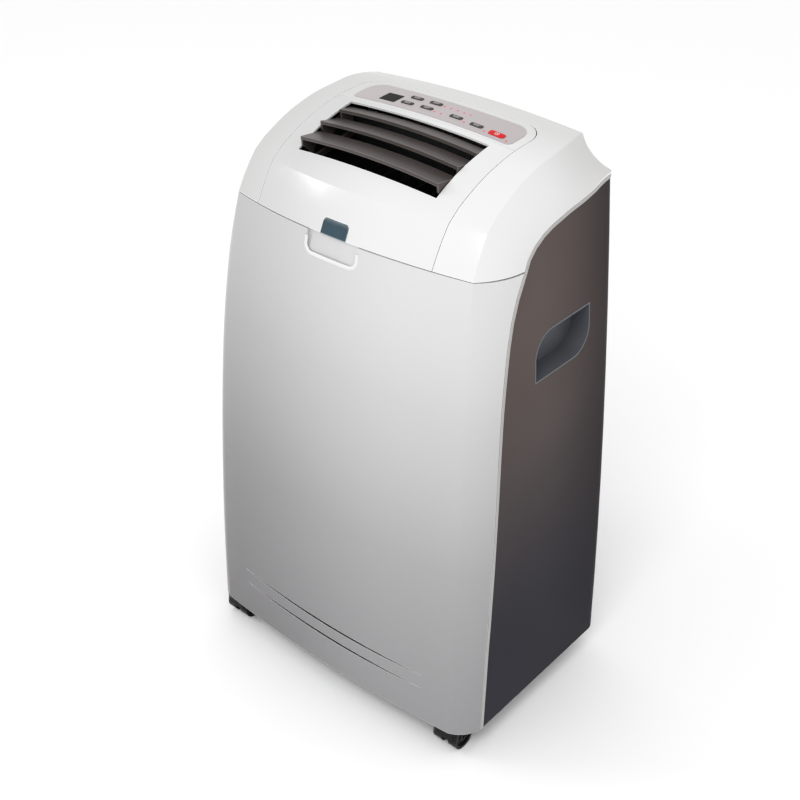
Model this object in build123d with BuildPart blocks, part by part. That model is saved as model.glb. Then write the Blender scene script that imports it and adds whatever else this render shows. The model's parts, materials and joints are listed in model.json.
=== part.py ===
from build123d import *
import math
import os

os.makedirs("parts", exist_ok=True)

# Portable air conditioner. Millimetres, +Z up, the front faces -Y.
# The origin is on the floor, under the middle of the machine.

# ---- Driving dimensions ---------------------------------------------------
WALL = 3.0  # moulded shell thickness
GAP = 0.4  # clearance between neighbouring bodies
SEAM = 0.9  # visible joint line between shell panels

SHELL_BOTTOM = 35.3
SPLIT_HEIGHT = 648.0  # joint between front panel and top cover, at the corners
SPLIT_RISE = 6.5  # how much higher that joint is at the middle
STRIP_DROOP = 1.3  # front panel's top edge falls this much across a strip, so that it can tilt out
CREASE_BOTTOM, CREASE_TOP, CREASE_BELLY = 198.5, 175.8, 5.5
SIDE_BOTTOM, SIDE_TOP, SIDE_BELLY = 226.1, 202.0, 6.7
NOSE_BOTTOM, NOSE_TOP, NOSE_BELLY, NOSE_SKEW = -148.9, -98.1, -12.2, -5.1
BOW_BOTTOM, BOW_TOP = 10.2, 29.9
BACK_BOTTOM, BACK_TOP, BACK_BELLY = 145.5, 134.8, -2.5
REAR_RETURN = 24.0  # how far the side panels wrap round onto the back
BACK_CORNER = 20.0  # rounding of the rear vertical corners
CREASE_ROUND = 2.5
STRIP_SAG = 5.5  # outward curve of the corner strips
TRIM_WIDTH = 4.0

# Styling line between corner strip and side: (height, y) up the side.
SIDE_LINE = (
    (SHELL_BOTTOM, -117.0),
    (150.0, -113.0),
    (265.0, -105.5),
    (380.0, -97.5),
    (475.0, -90.0),
    (540.0, -81.0),
    (590.0, -70.5),
    (625.0, -56.5),
    (SPLIT_HEIGHT, -42.5),
    (SPLIT_HEIGHT + 20.0, -29.5),
)
LEVELS = 24  # stations up the lower shell
FAN_STEP = 4.5  # degrees between stations of the top cover
CAP_STEPS = 4
SIDE_LEVELS = 8
# The top cover is drawn on planes fanned about a line at the back of the split.
FAN_Y, FAN_Z = 120.0, SPLIT_HEIGHT
# (fan angle, side x, side reach, crease x, crease reach, crown, strip curve)
FAN = (
    (-4.5, 202.2, 171.0, 176.2, 220.0, 30.0, 5.5),
    (0.0, 202.0, 162.5, 175.8, 218.1, 29.9, 5.5),
    (6.0, 200.5, 153.2, 174.0, 207.6, 29.5, 5.6),
    (14.0, 199.4, 130.3, 171.8, 195.6, 28.0, 5.5),
    (24.0, 198.8, 98.3, 169.6, 170.0, 23.0, 5.0),
    (38.0, 198.4, 72.5, 167.4, 139.5, 15.5, 1.5),
    (55.0, 198.0, 59.5, 165.6, 113.4, 10.5, -4.0),
    (72.0, 197.6, 56.2, 163.0, 100.6, 7.0, -7.0),
    (90.0, 197.3, 56.3, 155.0, 92.5, 6.5, -8.0),
)
CAP_Y = 133.5  # back face of the top cover
CAP_SIDE, CAP_SIDE_REACH = 185.0, 56.3
CAP_CREASE, CAP_CREASE_REACH = 139.0, 83.0
CAP_CROWN, CAP_STRIP = 10.0, -4.0
CAP = (CAP_SIDE, CAP_SIDE_REACH, CAP_CREASE, CAP_CREASE_REACH, CAP_CROWN, CAP_STRIP)
CAP_FOOT_HALF = 172.0
CAP_FOOT = 36.0  # the cover's back wall starts this far above the split

OUTLET_HALF = 102.0
OUTLET_FRONT, OUTLET_BACK = -69.5, 22.0
OUTLET_BOW = 3.5  # forward curve of the opening's front edge
SEAM_HALF = 130.3
SEAM_BACK = 30.0  # joint between the outlet panel and the control panel
PANEL_BACK, PANEL_CORNER = 91.0, 32.0
OVERLAY_LEFT, OVERLAY_RIGHT = -112.0, 119.0
OVERLAY_FRONT, OVERLAY_BACK, OVERLAY_ROUND = 34.0, 80.0, 21.0
SCOOP_X, SCOOP_WIDTH, SCOOP_DROP, SCOOP_ROUND = 1.0, 74.0, 25.0, 9.0
SCOOP_EDGE, SCOOP_DEEP = 2.0, 11.0
GROOVE_WIDE, GROOVE_DEEP = 4.0, 1.2
# (height in the middle, height at the ends, half length)
GROOVES = ((107.0, 110.0, 163.0), (85.5, 88.5, 158.0))
HANDLE_FRONT, HANDLE_BACK = -25.0, 84.0
HANDLE_LOW, HANDLE_HIGH, HANDLE_ROUND = 501.0, 562.0, 33.0
WINDOW_X, WINDOW_WIDE, WINDOW_TALL, WINDOW_ROUND = 1.0, 38.0, 17.0, 5.0
OVERLAY_THICK = 0.6
BUTTON_PROUD, BUTTON_TALL = 1.7, 5.5
BUTTON_LONG, BUTTON_DEEP = 17.0, 6.0
BUTTONS = (
    ("button_upper_left", -37.0, 65.0),
    ("button_upper_right", -9.0, 65.5),
    ("button_lower_1", -38.0, 48.0),
    ("button_lower_2", -10.0, 49.5),
    ("button_lower_3", 33.0, 49.5),
    ("button_lower_4", 64.0, 47.0),
)
BUTTON_CORNER, BUTTON_GAP = 1.8, 0.3
POWER_X, POWER_Y, POWER_LONG, POWER_DEEP, POWER_CORNER = 94.5, 44.5, 21.0, 8.5, 3.0
DISPLAY_X, DISPLAY_Y, DISPLAY_LONG, DISPLAY_DEEP = -65.0, 51.5, 23.0, 20.0
DISPLAY_CORNER, DISPLAY_GAP = 0.8, 0.2
LAMP_R = 1.1
LAMPS = (
    (3.6, 46.7), (13.0, 46.7), (47.4, 45.0), (78.5, 42.0), (111.0, 39.0),
    (4.0, 65.0), (13.2, 65.0), (22.8, 65.0), (32.6, 64.5), (41.8, 64.5),
)
TRIM_GAP = 0.5
PIN_X, PIN_Y, PIN_Z, PIN_LONG = 136.0, -148.9, 39.0, 8.0  # front panel hinge pins
PANEL_PIN_R, LUG_WIDE, LUG_REACH = 1.1, 4.0, 3.5
EAR_START, EAR_WIDE, EAR_HALF = 2.0, 4.0, 1.6
TRIM_PROUD = 0.8
HANDLE_FLOOR, HANDLE_WALL, HANDLE_STOCK = 184.0, 2.2, 40.0
RUN = 0.05  # radial clearance of running fits
BASE_LOW, BASE_THICK, BASE_RIM = 36.5, 3.0, 9.0
CASTER_NAMES = ("front_right", "front_left", "rear_right", "rear_left")
CASTERS = ((190.0, -121.0), (-190.0, -121.0), (150.0, 100.0), (-150.0, 100.0))
SOCKET_R, SOCKET_TALL, STEM_R = 8.0, 16.0, 4.5
WHEEL_R, WHEEL_WIDE, TRAIL = 17.3, 13.0, 6.0
CHEEK, AXLE_R, AXLE_HALF = 5.0, 3.0, 16.0
WHEEL_ROOM, DISH_DEEP, TYRE, HUB_WALL = 0.9, 3.0, 3.5, 3.0
HOOD_HALF_X, HOOD_HALF_Y, HOOD_ROUND = 19.0, 19.5, 7.0
HOOD_LOW, HOOD_TOP = 20.0, 34.2
SCREW_X, SCREW_Z = 174.0, (60.0, 290.0, 420.0, 670.0)
SCREW_R, SCREW_HEAD_R, SCREW_LONG = 1.8, 3.6, 9.0
GRILLE_HALF, GRILLE_LOW, GRILLE_HIGH, GRILLE_DEEP = 160.0, 440.0, 660.0, 9.0
VENT_HALF, VENT_LOW, VENT_HIGH = 140.0, 80.0, 268.0
RIM, SLAT_PITCH = 7.0, 11.0
GRILLE_PIN_R, GRILLE_PIN_UP, GRILLE_PIN_OUT, GRILLE_FOOT_GAP = 1.0, 2.5, 4.0, 1.4
PORT_Z, PORT_R, PORT_WALL, PORT_FLANGE, PORT_INSIDE = 352.0, 62.0, 3.0, 11.0, 14.0
COLLAR_END = 159.1
DRAINS = ((-130.0, 405.0), (0.0, 58.0))
DRAIN_R = 8.0
GLAND_X, GLAND_Z, GLAND_R = 165.0, 110.0, 8.5
BLADE_HALF, BLADE_CHEEK, BLADE_THICK, BLADE_LIP, BLADE_ARCH = 101.0, 2.0, 2.4, 4.0, 5.0
# blade name, (front y, front z, rear y, rear z) of the tread
BLADES = (
    ("front", (-65.5, 727.5, -34.5, 724.0)),
    ("middle", (-32.5, 736.0, -2.5, 730.5)),
    ("rear", (0.5, 740.5, 18.5, 738.0)),
)
PIVOT_BACK, PIVOT_DROP, PIN_R, PIN_END = 16.0, 17.5, 2.5, 105.5
CRANK_DROP, CRANK_PIN_R, LINK_THICK = 14.0, 1.5, 3.0
LINK_END, LINK_HALF = 4.0, 3.5
DUCT_FOOT = 646.0
DUCT_SIDE = ((-78.0, 646.0), (30.0, 646.0), (30.0, 734.0), (2.0, 730.0), (-40.0, 716.0), (-78.0, 699.0))
DUCT_CORE = ((-75.0, 600.0), (27.0, 600.0), (27.0, 800.0), (-75.0, 800.0))
VANE_FRONT, VANE_BACK, VANE_LOW, VANE_HIGH = -60.0, 20.0, 652.0, 682.0
FIN_COUNT, TUBE_ROWS = 36, 8
FIN_HALF, END_PLATE, TUBE_OUT, PIPE_R = 0.6, 2.0, 6.0, 4.0
COIL_FRONT, COIL_BACK, COIL_HALF = 90.0, 116.0, 158.0
BULKHEAD_HALF, BULKHEAD_Z = 176.0, 425.0
THROAT_OPEN = (2.5, 0.0, -2.5, 1.0)
UPPER_FAN_Y, UPPER_FAN_Z, UPPER_FAN_R, UPPER_FAN_HALF = 5.0, 530.0, 72.0, 70.0
LOWER_FAN_Y, LOWER_FAN_Z, LOWER_FAN_R, LOWER_FAN_HALF = 5.0, 170.0, 62.0, 30.0
SHAFT_R = 4.0
FAN_ROOM = 8.0  # space between a fan and its housing
COMPRESSOR, COMPRESSOR_R, COMPRESSOR_TALL = (128.0, -15.0), 48.0, 210.0
ELECTRICAL = ((-168.0, -60.0, 520.0), (-118.0, 40.0, 620.0))
TOP_OF_ALL = 800.0
FAR = 300.0  # reach of cutting prisms, beyond every outside face
FIND = 0.01  # tolerance for picking points


def belly(z, bottom, top, bulge, skew=0.0):
    """Height profile: straight taper plus a belly and a skew."""
    s = (z - SHELL_BOTTOM) / (SPLIT_HEIGHT - SHELL_BOTTOM)
    return bottom * (1 - s) + top * s + 4 * bulge * s * (1 - s) + 10 * skew * s * (1 - s) * (s - 0.5)


def smooth_row(table, at):
    """Row of a design table at any parameter, on a smooth curve through its rows."""
    last = len(table) - 1
    i = min(max(sum(1 for row in table if row[0] <= at) - 1, 0), last - 1)
    low, high = table[i], table[i + 1]
    span = high[0] - low[0]
    u = (at - low[0]) / span

    def slope(k, column):
        before, after = table[max(k - 1, 0)], table[min(k + 1, last)]
        return (after[column] - before[column]) / (after[0] - before[0]) * span

    values = []
    for c in range(1, len(low)):
        start, end = low[c], high[c]
        leave, arrive = slope(i, c), slope(i + 1, c)
        values.append(
            start * (2 * u**3 - 3 * u**2 + 1) + leave * (u**3 - 2 * u**2 + u)
            + end * (3 * u**2 - 2 * u**3) + arrive * (u**3 - u**2)
        )
    return values


def level_heights():
    """Station heights of the lower shell, with one exactly at the split."""
    heights = [SHELL_BOTTOM + (SPLIT_HEIGHT - SHELL_BOTTOM) * i / LEVELS for i in range(LEVELS + 1)]
    return heights + [SPLIT_HEIGHT + 20.0]


def fan_angles():
    """Station angles of the top cover, from just below the split to straight up."""
    return [FAN_STEP * i for i in range(-1, round(90 / FAN_STEP) + 1)]


def crease_x(z):
    return belly(z, CREASE_BOTTOM, CREASE_TOP, CREASE_BELLY)


def side_x(z):
    return belly(z, SIDE_BOTTOM, SIDE_TOP, SIDE_BELLY)


def nose_y(z):
    return belly(z, NOSE_BOTTOM, NOSE_TOP, NOSE_BELLY, NOSE_SKEW)


def bow(z):
    return belly(z, BOW_BOTTOM, BOW_TOP, 0.0)


def back_y(z):
    return belly(z, BACK_BOTTOM, BACK_TOP, BACK_BELLY)


def level(z):
    """Horizontal sketch plane whose local +Y points to the front."""
    return Plane(origin=(0, 0, z), x_dir=(1, 0, 0), z_dir=(0, 0, -1))


def fan(angle):
    """Sketch plane of the top cover: 0 looks forward, 90 looks up."""
    a = math.radians(angle)
    return Plane(origin=(0, FAN_Y, FAN_Z), x_dir=(1, 0, 0), z_dir=(0, -math.sin(a), -math.cos(a)))


def mid_bulge(p, q, sag):
    """Middle of an arc from p to q, bulging to the right of the way p to q by sag."""
    dx, dy = q[0] - p[0], q[1] - p[1]
    size = math.hypot(dx, dy)
    return ((p[0] + q[0]) / 2 + dy / size * sag, (p[1] + q[1]) / 2 - dx / size * sag)


def shell_section(plane, side, side_reach, crease, reach, crown, sag, skin, wall):
    """C-shaped wall section: side, strip, crease, front, and back on the inside."""
    so, co, ro = side + skin, crease + 0.6 * skin, reach + skin
    si, ci, ri = so - wall, co - 0.6 * wall, ro - wall
    with BuildSketch(plane) as section:
        with BuildLine():
            a, b = (so, side_reach), (co, ro)
            c, d = (-co, ro), (-so, side_reach)
            ThreePointArc(a, mid_bulge(a, b, sag), b)
            ThreePointArc(b, (0, ro + crown), c)
            ThreePointArc(c, mid_bulge(c, d, sag), d)
            e, f = (-si, side_reach), (-ci, ri)
            g, h = (ci, ri), (si, side_reach)
            Line(d, e)
            ThreePointArc(e, mid_bulge(e, f, -sag), f)
            ThreePointArc(f, (0, ri + crown), g)
            ThreePointArc(g, mid_bulge(g, h, -sag), h)
            Line(h, a)
        make_face()
        ridges = section.vertices().filter_by(
            lambda v: abs(abs(v.X) - co) < FIND and abs(v.Y - ro) < FIND
        )
        fillet(ridges, CREASE_ROUND)
    return section.sketch


def front_skin(skin=0.0, wall=WALL):
    """Front panel wall, from the shell's bottom to above the split."""
    with BuildPart(mode=Mode.PRIVATE) as solid:
        for z in level_heights():
            line_y = smooth_row(SIDE_LINE, z)[0]
            add(
                shell_section(
                    level(z), side_x(z), -line_y, crease_x(z), -nose_y(z), bow(z), STRIP_SAG, skin, wall
                )
            )
        loft(ruled=True)
    return solid.part


def top_skin(skin=0.0, wall=WALL):
    """Top cover wall, from just below the split to the back of the crown."""
    with BuildPart(mode=Mode.PRIVATE) as solid:
        for angle in fan_angles():
            side, side_reach, crease, reach, crown, sag = smooth_row(FAN, angle)
            add(shell_section(fan(angle), side, side_reach, crease, reach, crown, sag, skin, wall))
        for i in range(1, CAP_STEPS + 1):
            u = i / CAP_STEPS
            turn = 1 - math.sqrt(1 - u * u)
            place = Plane(
                origin=(0, FAN_Y + (CAP_Y - FAN_Y) * u, FAN_Z), x_dir=(1, 0, 0), z_dir=(0, -1, 0)
            )
            side, side_reach, crease, reach, crown, sag = [
                p + (q - p) * turn for p, q in zip(FAN[-1][1:], CAP)
            ]
            add(shell_section(place, side, side_reach, crease, reach, crown, sag, skin, wall))
        loft(ruled=True)
    return solid.part


def below_split(lift, droop=0.0):
    """Everything below the split line, raised by lift and drooping across the corner strips."""
    low = SPLIT_HEIGHT + lift
    end_x, end_z = SIDE_TOP + WALL, low - droop
    with BuildPart(mode=Mode.PRIVATE) as block:
        with BuildSketch(Plane.XZ):
            with BuildLine():
                ThreePointArc((-CREASE_TOP, low), (0, low + SPLIT_RISE), (CREASE_TOP, low))
                right = [(CREASE_TOP, low), (end_x, end_z), (FAR, end_z), (FAR, 0)]
                Polyline(*right, *[(-x, z) for x, z in reversed(right)])
            make_face()
        extrude(amount=FAR, both=True)
    return block.part


def plan_prism(face, low=SPLIT_HEIGHT - 60.0):
    """Upright prism over a plan outline, through the top of the machine."""
    with BuildPart(mode=Mode.PRIVATE) as block:
        with BuildSketch(Plane.XY.offset(low)):
            add(face)
        extrude(amount=TOP_OF_ALL - low)
    return block.part


def outlet_plan(margin):
    with BuildSketch(mode=Mode.PRIVATE) as plan:
        with Locations((0, SEAM_BACK - margin)):
            Rectangle(2 * (SEAM_HALF - margin), FAR, align=(Align.CENTER, Align.MAX))
    return plan.sketch


def control_plan(margin):
    back = PANEL_BACK - margin
    front = SEAM_BACK + margin
    with BuildSketch(mode=Mode.PRIVATE) as plan:
        with Locations((0, (front + back) / 2)):
            Rectangle(2 * (SEAM_HALF - margin), back - front)
        fillet(plan.vertices().group_by(Axis.Y)[-1], PANEL_CORNER)
    return plan.sketch


def opening_plan(margin):
    """Air outlet opening, with a slightly bowed front edge."""
    half, front, back = OUTLET_HALF - margin, OUTLET_FRONT + margin, OUTLET_BACK - margin
    with BuildSketch(mode=Mode.PRIVATE) as plan:
        with BuildLine():
            ThreePointArc((-half, front), (0, front - OUTLET_BOW), (half, front))
            Line((half, front), (half, back))
            Line((half, back), (-half, back))
            Line((-half, back), (-half, front))
        make_face()
    return plan.sketch


def overlay_plan(margin):
    """Printed overlay on the control panel, round at both ends."""
    left, right = OVERLAY_LEFT + margin, OVERLAY_RIGHT - margin
    front, back = OVERLAY_FRONT + margin, OVERLAY_BACK - margin
    with BuildSketch(mode=Mode.PRIVATE) as plan:
        with Locations(((left + right) / 2, (front + back) / 2)):
            Rectangle(right - left, back - front)
        fillet(plan.vertices().group_by(Axis.Y)[-1], OVERLAY_ROUND)
        fillet(plan.vertices().group_by(Axis.Y)[0], OVERLAY_ROUND / 3)
    return plan.sketch


def pad_plan(x, y, length, depth, corner, margin=0.0):
    """Small rounded plan outline of a button or window."""
    with BuildSketch(mode=Mode.PRIVATE) as plan:
        with Locations((x, y)):
            Rectangle(length + 2 * margin, depth + 2 * margin)
        fillet(plan.vertices(), corner + margin)
    return plan.sketch


def side_line_points(away):
    """Styling line on the side, moved towards the side panel by away: (y, z) points."""
    line = [(smooth_row(SIDE_LINE, z)[0], z) for z in level_heights()[:-1]]
    for angle in fan_angles()[2:]:
        reach, a = smooth_row(FAN, angle)[1], math.radians(angle)
        line.append((FAN_Y - reach * math.cos(a), FAN_Z + reach * math.sin(a)))
    line.append((BACK_BOTTOM, FAN_Z + CAP_SIDE_REACH))
    moved = []
    for i, (y, z) in enumerate(line):
        before, after = line[max(i - 1, 0)], line[min(i + 1, len(line) - 1)]
        dy, dz = after[0] - before[0], after[1] - before[1]
        size = math.hypot(dy, dz)
        moved.append((y + dz / size * away, z - dy / size * away))
    return moved


def beyond_line(away):
    """Everything in front of and above the styling line moved by away."""
    line = side_line_points(away)
    first, last = line[0], line[-1]
    with BuildPart(mode=Mode.PRIVATE) as block:
        with BuildSketch(Plane.YZ):
            with BuildLine():
                Polyline(
                    *line,
                    (FAR, last[1]),
                    (FAR, TOP_OF_ALL),
                    (-FAR, TOP_OF_ALL),
                    (-FAR, 0),
                    (first[0], 0),
                    first,
                )
            make_face()
        extrude(amount=FAR)
    return block.part


def side_skin(skin=0.0, wall=WALL, low=SHELL_BOTTOM, high=712.0):
    """Right side wall with the rounded rear corner and a short return behind it."""
    with BuildPart(mode=Mode.PRIVATE) as solid:
        for i in range(SIDE_LEVELS + 1):
            z = low + (high - low) * i / SIDE_LEVELS
            x, back = side_x(z) + skin, back_y(z) + skin
            end_x = side_x(z) - REAR_RETURN
            outer, inner = BACK_CORNER, max(BACK_CORNER - wall, 1.0)
            turn = math.sqrt(0.5)
            with BuildSketch(Plane.XY.offset(z)):
                with BuildLine():
                    cx, cy = x - outer, back - outer
                    Line((x, -140), (x, cy))
                    ThreePointArc((x, cy), (cx + outer * turn, cy + outer * turn), (cx, back))
                    Polyline((cx, back), (end_x, back), (end_x, back - wall))
                    cx, cy = x - wall - inner, back - wall - inner
                    Line((end_x, back - wall), (cx, back - wall))
                    ThreePointArc((cx, back - wall), (cx + inner * turn, cy + inner * turn), (x - wall, cy))
                    Polyline((x - wall, cy), (x - wall, -140), (x, -140))
                make_face()
        loft(ruled=True)
    return solid.part


def handle_outline(margin):
    """Grip recess: two square corners and two well rounded ones."""
    front, back = HANDLE_FRONT + margin, HANDLE_BACK - margin
    low, high = HANDLE_LOW + margin, HANDLE_HIGH - margin
    with BuildSketch(mode=Mode.PRIVATE) as face:
        with BuildLine():
            Polyline((front, low), (front, high), (back, high), (back, low), (front, low))
        make_face()
        round_ones = face.vertices().filter_by(
            lambda v: (v.X - (front + back) / 2) * (v.Y - (low + high) / 2) < 0
        )
        fillet(round_ones, HANDLE_ROUND - margin)
    return face.sketch


def box(low, high):
    """Plain block between two corners."""
    with BuildPart(mode=Mode.PRIVATE) as block:
        size = [high[i] - low[i] for i in range(3)]
        with Locations(tuple((low[i] + high[i]) / 2 for i in range(3))):
            Box(*size)
    return block.part


def rod(start, end, radius):
    """Round bar between two points."""
    along = Vector(*end) - Vector(*start)
    with BuildPart(mode=Mode.PRIVATE) as bar:
        with BuildSketch(Plane(origin=start, z_dir=along)):
            Circle(radius)
        extrude(amount=along.length)
    return bar.part


def tube_along(points, radius, bend):
    """Bent pipe through corner points."""
    with BuildPart(mode=Mode.PRIVATE) as pipe:
        with BuildLine() as path:
            FilletPolyline(*points, radius=bend)
        first = Vector(*points[0])
        with BuildSketch(Plane(origin=first, z_dir=Vector(*points[1]) - first)):
            Circle(radius)
        sweep(path=path.line)
    return pipe.part


def save(name, solid):
    """Write one named piece."""
    solid.label = name
    export_step(solid, "parts/" + name + ".step")


# ---- Front panel ----------------------------------------------------------
def scoop_prism(grow):
    """Finger scoop outline under the receiver window, as a prism to the front."""
    with BuildPart(mode=Mode.PRIVATE) as block:
        with BuildSketch(Plane.XZ) as scoop:
            with Locations((SCOOP_X, SPLIT_HEIGHT + SPLIT_RISE)):
                Rectangle(SCOOP_WIDTH + 2 * grow, 2 * (SCOOP_DROP + grow))
            fillet(scoop.vertices().group_by(Axis.Y)[0], SCOOP_ROUND + grow)
        extrude(amount=FAR)
    return block.part


scoop_top = SPLIT_HEIGHT + SPLIT_RISE
scoop_lip = scoop_top - SCOOP_DROP
lip_y = nose_y(scoop_lip) - bow(scoop_lip)
with BuildPart() as scoop_hollow:
    with BuildSketch(Plane.YZ):
        with BuildLine():
            Polyline(
                (lip_y - FAR / 4, scoop_lip - SCOOP_ROUND),
                (lip_y + SCOOP_EDGE, scoop_lip - 1),
                (lip_y + SCOOP_DEEP, scoop_top + 4),
                (lip_y - FAR / 4, scoop_top + 4),
                (lip_y - FAR / 4, scoop_lip - SCOOP_ROUND),
            )
        make_face()
    extrude(amount=FAR, both=True)
    add(scoop_prism(0.0), mode=Mode.INTERSECT)

with BuildPart() as front_panel:
    add(front_skin())
    add(front_skin(skin=-SCOOP_EDGE / 2, wall=SCOOP_DEEP + WALL).intersect(scoop_prism(WALL)))
    add(below_split(-SEAM / 2, STRIP_DROOP), mode=Mode.INTERSECT)
    add(scoop_hollow.part, mode=Mode.SUBTRACT)
    # Two curved grooves near the foot.
    for height, end_height, half in GROOVES:
        with BuildPart(mode=Mode.PRIVATE) as groove:
            with BuildSketch(Plane.XZ):
                with BuildLine():
                    left, right = (-half, end_height), (half, end_height)
                    ThreePointArc(left, (0, height + GROOVE_WIDE / 2), right)
                    ThreePointArc(right, (0, height - GROOVE_WIDE / 2), left)
                make_face()
            extrude(amount=FAR)
            add(front_skin(skin=0.5, wall=GROOVE_DEEP + 0.5), mode=Mode.INTERSECT)
        add(groove.part, mode=Mode.SUBTRACT)
    # Hinge pins at the foot, each on a small lug behind the wall.
    for sign in (-1, 1):
        near, far = sign * PIN_X, sign * (PIN_X + PIN_LONG)
        lug = sign * (PIN_X - LUG_WIDE)
        add(
            box(
                (min(lug, near), PIN_Y - LUG_REACH, PIN_Z - PANEL_PIN_R),
                (max(lug, near), PIN_Y + PANEL_PIN_R, PIN_Z + PANEL_PIN_R + 1),
            )
        )
        add(rod((near, PIN_Y, PIN_Z), (far, PIN_Y, PIN_Z), PANEL_PIN_R))
save("front_panel", front_panel.part)


# ---- Top cover, outlet panel and control panel ----------------------------
upper = top_skin() - below_split(SEAM / 2)
half_seam = SEAM / 2
outlet_prism = plan_prism(outlet_plan(half_seam))
outlet_cut = plan_prism(outlet_plan(-half_seam))
control_prism = plan_prism(control_plan(half_seam))
control_cut = plan_prism(control_plan(-half_seam))

with BuildPart() as top_cover:
    add(upper)
    add(outlet_cut, mode=Mode.SUBTRACT)
    add(control_cut, mode=Mode.SUBTRACT)
    # Back wall of the cover, closing the crown.
    with BuildSketch(Plane(origin=(0, CAP_Y, FAN_Z), x_dir=(1, 0, 0), z_dir=(0, -1, 0))) as cap:
        inside = WALL / 2
        side, crease = CAP_SIDE - inside, CAP_CREASE - 0.6 * inside
        reach = CAP_CREASE_REACH - inside
        with BuildLine():
            right, ridge = (side, CAP_SIDE_REACH), (crease, reach)
            left, left_ridge = (-side, CAP_SIDE_REACH), (-crease, reach)
            ThreePointArc(right, mid_bulge(right, ridge, CAP_STRIP), ridge)
            ThreePointArc(ridge, (0, reach + CAP_CROWN), left_ridge)
            ThreePointArc(left_ridge, mid_bulge(left_ridge, left, CAP_STRIP), left)
            foot = CAP_FOOT_HALF
            Polyline(
                left,
                (-foot, CAP_SIDE_REACH),
                (-foot, CAP_FOOT),
                (foot, CAP_FOOT),
                (foot, CAP_SIDE_REACH),
                right,
            )
        make_face()
    extrude(amount=WALL)
save("top_cover", top_cover.part)

with BuildPart() as outlet_panel:
    add(upper)
    add(outlet_prism, mode=Mode.INTERSECT)
    add(plan_prism(opening_plan(0.0)), mode=Mode.SUBTRACT)
    # Window of the remote-control receiver, just above the split.
    with BuildSketch(Plane.XZ) as window:
        with Locations((WINDOW_X, SPLIT_HEIGHT + SPLIT_RISE)):
            Rectangle(WINDOW_WIDE, 2 * WINDOW_TALL)
        fillet(window.vertices().group_by(Axis.Y)[-1], WINDOW_ROUND)
    extrude(amount=FAR, mode=Mode.SUBTRACT)
save("outlet_panel", outlet_panel.part)

with BuildPart() as receiver_window:
    with BuildSketch(Plane.XZ) as window:
        with Locations((WINDOW_X, SPLIT_HEIGHT + SPLIT_RISE)):
            Rectangle(WINDOW_WIDE - 2 * GAP, 2 * (WINDOW_TALL - GAP))
        fillet(window.vertices().group_by(Axis.Y)[-1], WINDOW_ROUND - GAP)
    extrude(amount=FAR)
    add(top_skin(skin=0.3, wall=WALL) - below_split(SEAM / 2), mode=Mode.INTERSECT)
save("receiver_window", receiver_window.part)

raised = top_skin(skin=OVERLAY_THICK + 0.05, wall=OVERLAY_THICK)
button_stock = top_skin(skin=BUTTON_PROUD, wall=BUTTON_TALL)
lens_stock = top_skin(skin=OVERLAY_THICK + 0.35, wall=2.4)

pads = [(name, (x, y, BUTTON_LONG, BUTTON_DEEP, BUTTON_CORNER)) for name, x, y in BUTTONS]
pads.append(("power_button", (POWER_X, POWER_Y, POWER_LONG, POWER_DEEP, POWER_CORNER)))
display_pad = (DISPLAY_X, DISPLAY_Y, DISPLAY_LONG, DISPLAY_DEEP, DISPLAY_CORNER)


def panel_holes():
    """Upright prisms through which buttons, display and lamps pass the control panel."""
    with BuildPart(mode=Mode.PRIVATE) as holes:
        for name, pad in pads:
            add(plan_prism(pad_plan(*pad, margin=BUTTON_GAP)))
        add(plan_prism(pad_plan(*display_pad, margin=DISPLAY_GAP)))
        with Locations([(x, y, SPLIT_HEIGHT) for x, y in LAMPS]):
            Cylinder(LAMP_R + DISPLAY_GAP, 2 * (TOP_OF_ALL - SPLIT_HEIGHT))
    return holes.part


holes = panel_holes()

with BuildPart() as control_panel:
    add(upper)
    add(control_prism, mode=Mode.INTERSECT)
    add(holes, mode=Mode.SUBTRACT)
save("control_panel", control_panel.part)

with BuildPart() as control_overlay:
    add(raised)
    add(plan_prism(overlay_plan(0.0)), mode=Mode.INTERSECT)
    add(holes, mode=Mode.SUBTRACT)
save("control_overlay", control_overlay.part)

for name, pad in pads:
    with BuildPart() as button:
        add(button_stock)
        add(plan_prism(pad_plan(*pad)), mode=Mode.INTERSECT)
    save(name, button.part)

with BuildPart() as display_window:
    add(lens_stock)
    add(plan_prism(pad_plan(*display_pad)), mode=Mode.INTERSECT)
save("display_window", display_window.part)

with BuildPart() as indicator_lenses:
    with Locations([(x, y, SPLIT_HEIGHT) for x, y in LAMPS]):
        Cylinder(LAMP_R, 2 * (TOP_OF_ALL - SPLIT_HEIGHT))
    add(lens_stock, mode=Mode.INTERSECT)
save("indicator_lenses", indicator_lenses.part)

# ---- Dark sides, trim beads and grip recesses -----------------------------
side_stock = side_skin()
with BuildPart() as side_panel_right:
    add(side_stock)
    add(beyond_line(TRIM_WIDTH + 2 * TRIM_GAP), mode=Mode.SUBTRACT)
    with BuildSketch(Plane.YZ):
        add(handle_outline(0.0))
    extrude(amount=FAR, mode=Mode.SUBTRACT)
save("side_panel_right", side_panel_right.part)
save("side_panel_left", mirror(side_panel_right.part, about=Plane.YZ))

with BuildPart() as trim_right:
    add(side_skin(skin=TRIM_PROUD, wall=WALL + TRIM_PROUD))
    add(beyond_line(TRIM_WIDTH + TRIM_GAP), mode=Mode.INTERSECT)
    add(beyond_line(TRIM_GAP), mode=Mode.SUBTRACT)
save("trim_right", trim_right.part)
save("trim_left", mirror(trim_right.part, about=Plane.YZ))

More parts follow.
